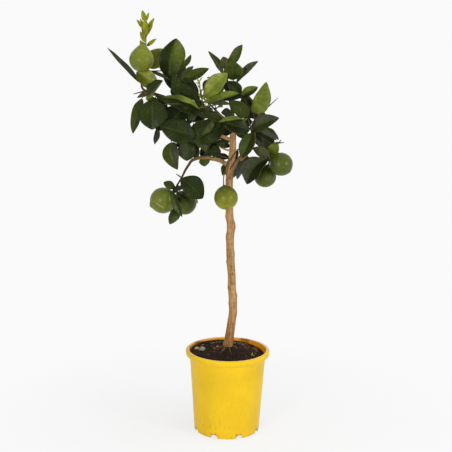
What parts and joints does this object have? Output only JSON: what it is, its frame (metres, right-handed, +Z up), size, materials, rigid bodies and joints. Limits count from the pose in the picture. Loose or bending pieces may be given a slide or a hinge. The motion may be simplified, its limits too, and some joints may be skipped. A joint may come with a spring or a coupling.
{
  "type": "potted orange tree",
  "caption": "Young orange tree with a bare single trunk, open leafy crown and green fruit, growing in a tapered plastic nursery pot.",
  "frame": {"origin": "centre of the pot's flat underside, where it rests", "axes": "+Z up along the trunk, the tree's fullest side faces -Y, its long branch reaches towards -X"},
  "size_m": [0.425, 0.2488, 0.9941],
  "materials": {
    "pot_plastic": "yellow polypropylene, slight sheen",
    "potting_soil": "moist dark peat and bark mix",
    "bark": "smooth young tan bark",
    "orange_peel": "unripe green peel, dimpled, waxy",
    "leaf": "leathery dark green leaf, waxy upper side",
    "young_leaf": "soft yellow-green new growth"
  },
  "bodies": {
    "root": {"leaf_back_high_twig_1": "leaf", "leaf_back_high_twig_2": "leaf", "leaf_back_left_twig_1": "leaf", "leaf_back_left_twig_2": "leaf", "leaf_back_left_twig_3": "leaf", "leaf_back_low_twig_1": "leaf", "leaf_back_low_twig_2": "leaf", "leaf_back_right_twig_1": "leaf", "leaf_back_right_twig_2": "leaf", "leaf_back_right_twig_3": "leaf", "leaf_front_left_twig_1": "leaf", "leaf_front_right_twig_1": "leaf", "leaf_front_right_twig_2": "leaf", "leaf_front_right_twig_3": "leaf", "leaf_front_twig_1": "leaf", "leaf_front_twig_2": "leaf", "leaf_front_twig_3": "leaf", "leaf_fruit_twig_1": "leaf", "leaf_fruit_twig_2": "leaf", "leaf_leader_1": "leaf", "leaf_leader_2": "leaf", "leaf_left_branch_1": "leaf", "leaf_left_branch_2": "leaf", "leaf_left_branch_3": "leaf", "leaf_left_branch_4": "leaf", "leaf_long_branch_1": "leaf", "leaf_long_branch_2": "leaf", "leaf_long_branch_3": "leaf", "leaf_long_branch_4": "leaf", "leaf_long_branch_5": "leaf", "leaf_long_branch_6": "leaf", "leaf_low_front_twig_1": "leaf", "leaf_low_front_twig_2": "leaf", "leaf_low_front_twig_3": "leaf", "leaf_low_left_twig_1": "leaf", "leaf_low_left_twig_2": "leaf", "leaf_low_left_twig_3": "leaf", "leaf_low_left_twig_4": "leaf", "leaf_middle_twig_1": "leaf", "leaf_middle_twig_2": "leaf", "leaf_middle_twig_3": "leaf", "leaf_middle_twig_4": "leaf", "leaf_right_branch_1": "leaf", "leaf_right_branch_2": "leaf", "leaf_right_branch_3": "leaf", "leaf_right_twig_1": "leaf", "leaf_right_twig_2": "leaf", "leaf_upper_left_twig_1": "leaf", "leaf_upper_left_twig_2": "leaf", "leaf_upper_left_twig_3": "leaf", "orange_by_trunk": "orange_peel", "orange_lower_back": "orange_peel", "orange_lower_left": "orange_peel", "orange_lower_right": "orange_peel", "orange_right": "orange_peel", "orange_top_left": "orange_peel", "pot": "pot_plastic", "soil": "potting_soil", "tree_wood": "bark", "young_shoot": "young_leaf"}
  },
  "joints": []
}
